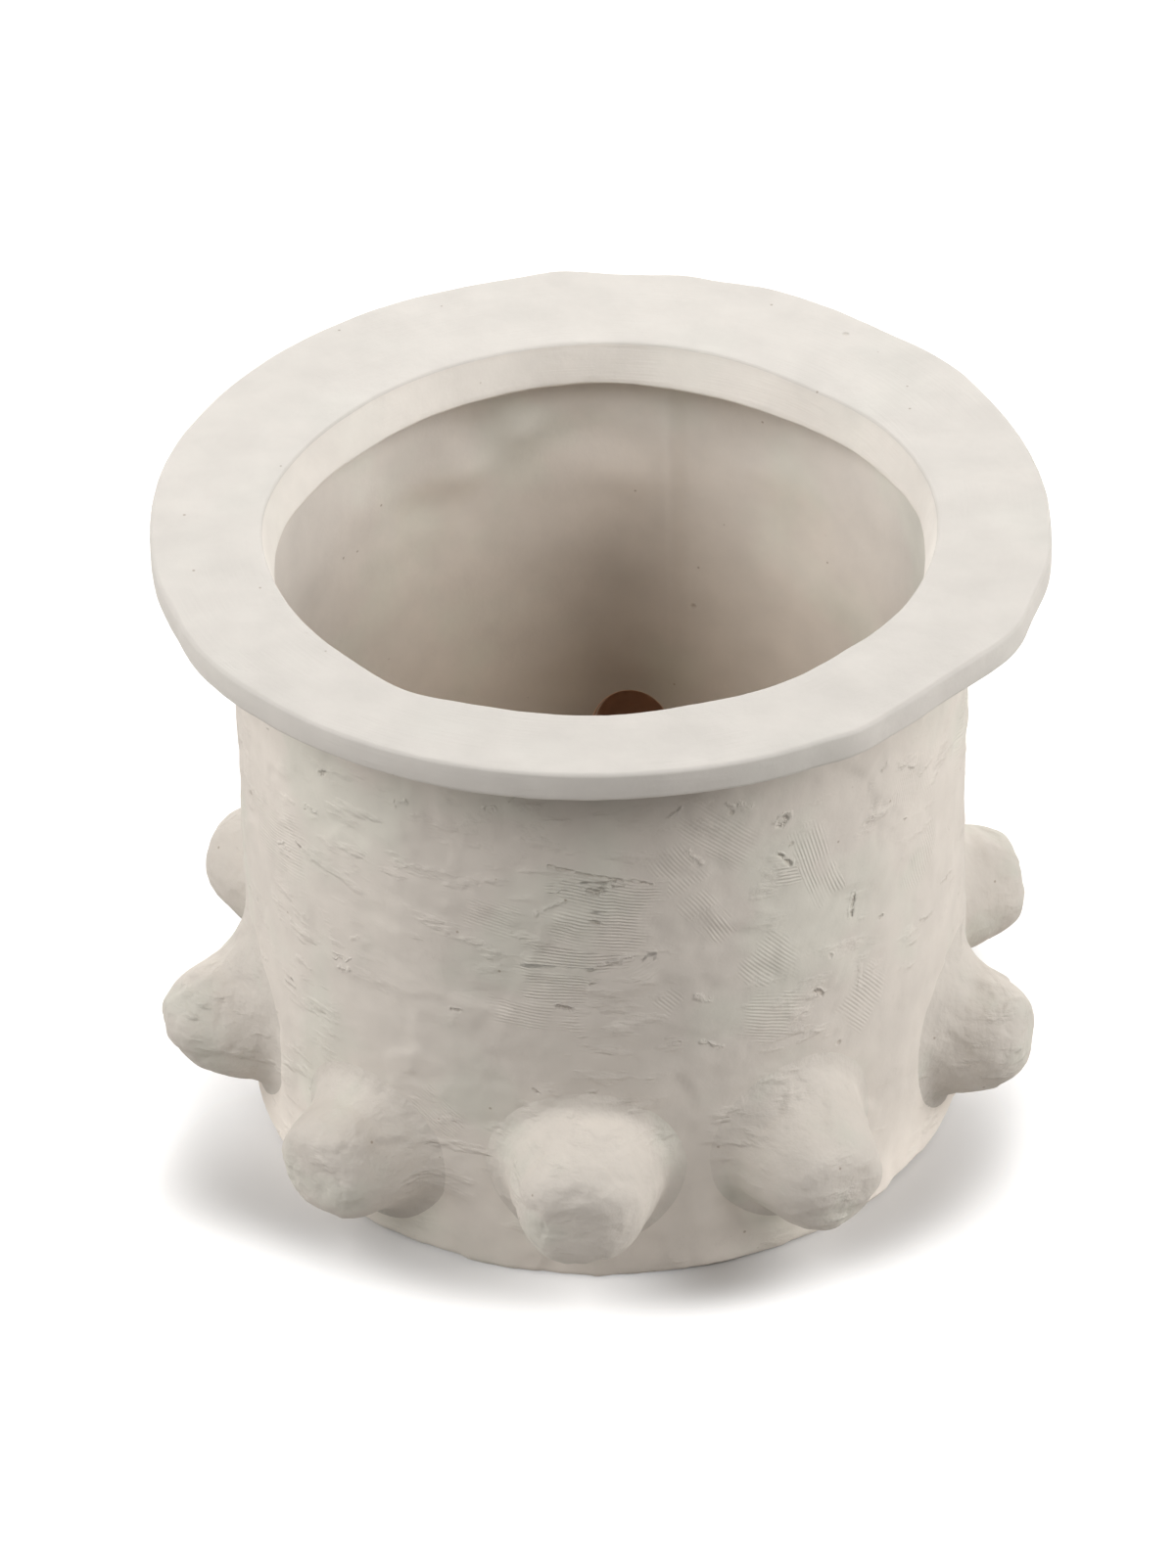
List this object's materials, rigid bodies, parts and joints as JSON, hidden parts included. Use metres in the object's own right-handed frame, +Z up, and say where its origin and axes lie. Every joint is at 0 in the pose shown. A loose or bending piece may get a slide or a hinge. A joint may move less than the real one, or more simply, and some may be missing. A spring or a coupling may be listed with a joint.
{
  "type": "stoneware flower pot",
  "caption": "Round hand-built stoneware planter with a wide flat rim, a deep open inside and a belt of stubby hollow knobs near its foot.",
  "frame": {"origin": "middle of the drain hole on the foot plane", "axes": "+Z up through the mouth, -Y towards the front of the pot, +X to its right"},
  "size_m": [0.3269, 0.3358, 0.245],
  "materials": {
    "floor_clay": "unglazed, matt, smooth",
    "wall_clay": "unglazed, matt, combed and scored by hand",
    "rim_clay": "unglazed, matt, smoothed with a wet sponge",
    "knob_clay": "unglazed, matt, pinched and patted"
  },
  "bodies": {
    "root": {"floor_slab": "floor_clay", "wall": "wall_clay", "rim_ring": "rim_clay", "knob_front": "knob_clay", "knob_front_right": "knob_clay", "knob_right": "knob_clay", "knob_right_rear": "knob_clay", "knob_rear_right": "knob_clay", "knob_rear": "knob_clay", "knob_rear_left": "knob_clay", "knob_left_rear": "knob_clay", "knob_left": "knob_clay", "knob_front_left": "knob_clay"}
  },
  "joints": []
}
